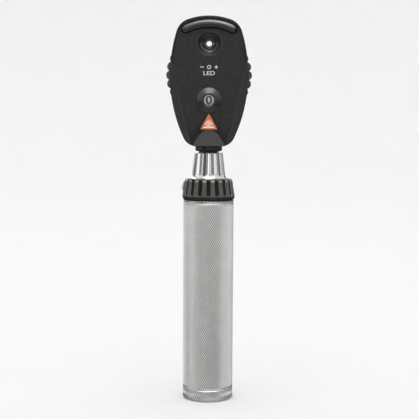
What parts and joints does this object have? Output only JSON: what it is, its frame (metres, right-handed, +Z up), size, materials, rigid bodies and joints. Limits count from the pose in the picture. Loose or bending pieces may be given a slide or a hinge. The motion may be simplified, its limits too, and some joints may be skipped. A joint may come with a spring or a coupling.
{
  "type": "direct ophthalmoscope",
  "caption": "Hand-held eye examination head with a lens wheel, sight hole and lamp, on a knurled round battery handle with a brightness ring.",
  "frame": {"origin": "centre of the flat bottom face of the end cap, on the handle axis", "axes": "+Z up the handle axis to the top of the head; +X to the examiner's right; the examiner's side of the head faces -Y and the patient's side faces +Y"},
  "size_m": [0.0502, 0.0338, 0.2275],
  "materials": {
    "knurled_shell": "satin nickel over a fine knurl",
    "chrome_cone": "bright polished",
    "bright_steel": "bright turned",
    "ring_plastic": "satin black",
    "head_plastic": "fine matte texture",
    "black_anodised": "satin black",
    "soft_rubber": "smooth, slightly glossy",
    "seal_rubber": "matte",
    "grey_plastic": "light grey, moulded",
    "badge_orange": "orange print under clear lacquer",
    "brass": "bright",
    "nickel": "nickel plated",
    "spring_steel": "drawn wire",
    "insulator": "natural",
    "cell_jacket": "printed sleeve, plain",
    "dial_print": "white dial with printed numbers",
    "wheel_plastic": "satin black",
    "lens_glass": "clear",
    "filter_tint": "green and blue tint",
    "mirror_face": "front-silvered",
    "board": "green board",
    "aluminium_part": "turned",
    "led_emitter": "phosphor under a clear dome"
  },
  "bodies": {
    "handle": {"handle_tube": "knurled_shell", "lower_cell": "cell_jacket", "upper_cell": "cell_jacket", "battery_bulkhead": "insulator", "contact_plate": "brass", "carrier_sleeve": "aluminium_part", "ring_washer": "bright_steel", "rheostat_track": "board", "coupling_cone": "chrome_cone", "insulator_bush": "insulator"},
    "contact_plunger": {"contact_pin": "nickel", "pin_spring": "spring_steel"},
    "rheostat": {"rheostat_ring": "ring_plastic", "wiper_contact": "brass"},
    "lock_key": {"lock_button": "grey_plastic", "lock_button_spring": "spring_steel"},
    "cap_screw": {"cap_seal": "seal_rubber"},
    "cap": {"end_cap": "knurled_shell", "cap_contact": "brass", "battery_spring": "spring_steel"},
    "head": {"head_spigot": "black_anodised", "spigot_insulator": "insulator", "spigot_contact": "nickel", "rear_housing": "head_plastic", "front_housing": "head_plastic", "housing_seal": "seal_rubber", "housing_screws": "bright_steel", "brow_rest": "soft_rubber", "sight_bezel": "black_anodised", "sight_ring": "bright_steel", "sight_eyelet": "black_anodised", "display_bezel": "head_plastic", "display_lens": "lens_glass", "badge": "badge_orange", "chassis_plate": "aluminium_part", "chassis_screws": "bright_steel", "wheel_axle": "bright_steel", "axle_washer": "brass", "detent_ball": "bright_steel", "detent_spring": "spring_steel", "lamp_holder": "aluminium_part", "lamp_contact": "brass", "led_board": "board", "led_lamp": "led_emitter", "condenser_tube": "black_anodised", "condenser_lens": "lens_glass", "aperture_frame": "black_anodised", "aperture_axle": "bright_steel", "objective_tube": "black_anodised", "objective_lens": "lens_glass", "mirror": "mirror_face", "mirror_mount": "black_anodised", "front_window": "lens_glass", "sight_tube": "black_anodised"},
    "lens_disc": {"lens_wheel": "wheel_plastic", "wheel_lenses": "lens_glass", "dioptre_dial": "dial_print"},
    "aperture_disc": {"aperture_wheel": "wheel_plastic", "filter_glass": "filter_tint"}
  },
  "joints": [
    {"name": "rheostat_turn", "type": "hinge", "parent": "handle", "child": "rheostat", "pos_m": [0, 0, 0.126], "axis": [0, 0, 1], "range_deg": [0, 100]},
    {"name": "lock_button_press", "type": "slide", "parent": "rheostat", "child": "lock_key", "axis": [1, 0, 0], "range_m": [0, 0.0012], "stiffness_N_per_m": 500, "springref_m": -0.0012, "deforming": ["lock_button_spring"]},
    {"name": "contact_pin_press", "type": "slide", "parent": "handle", "child": "contact_plunger", "axis": [0, 0, 1], "range_m": [-0.0008, 0], "stiffness_N_per_m": 600, "springref_m": 0.0015, "deforming": ["pin_spring"]},
    {"name": "cap_travel", "type": "slide", "parent": "handle", "child": "cap_screw", "axis": [0, 0, -1], "range_m": [0, 0.005]},
    {"name": "cap_unscrew", "type": "hinge", "parent": "cap_screw", "child": "cap", "pos_m": [0, 0, 0.003], "axis": [0, 0, -1], "range_deg": [0, 1440]},
    {"name": "head_bayonet_twist", "type": "hinge", "parent": "handle", "child": "head", "pos_m": [0, 0, 0.14], "axis": [0, 0, 1], "range_deg": [0, 35]},
    {"name": "lens_wheel_turn", "type": "hinge", "parent": "head", "child": "lens_disc", "pos_m": [0, -0.003, 0.1931], "axis": [0, 1, 0], "continuous": true},
    {"name": "aperture_wheel_turn", "type": "hinge", "parent": "head", "child": "aperture_disc", "pos_m": [0, 0.0102, 0.1727], "axis": [0, 0, 1], "continuous": true}
  ],
  "couplings": [
    {"joint": "cap_unscrew", "follows": "cap_travel", "rad_per_m": 5026.5}
  ]
}
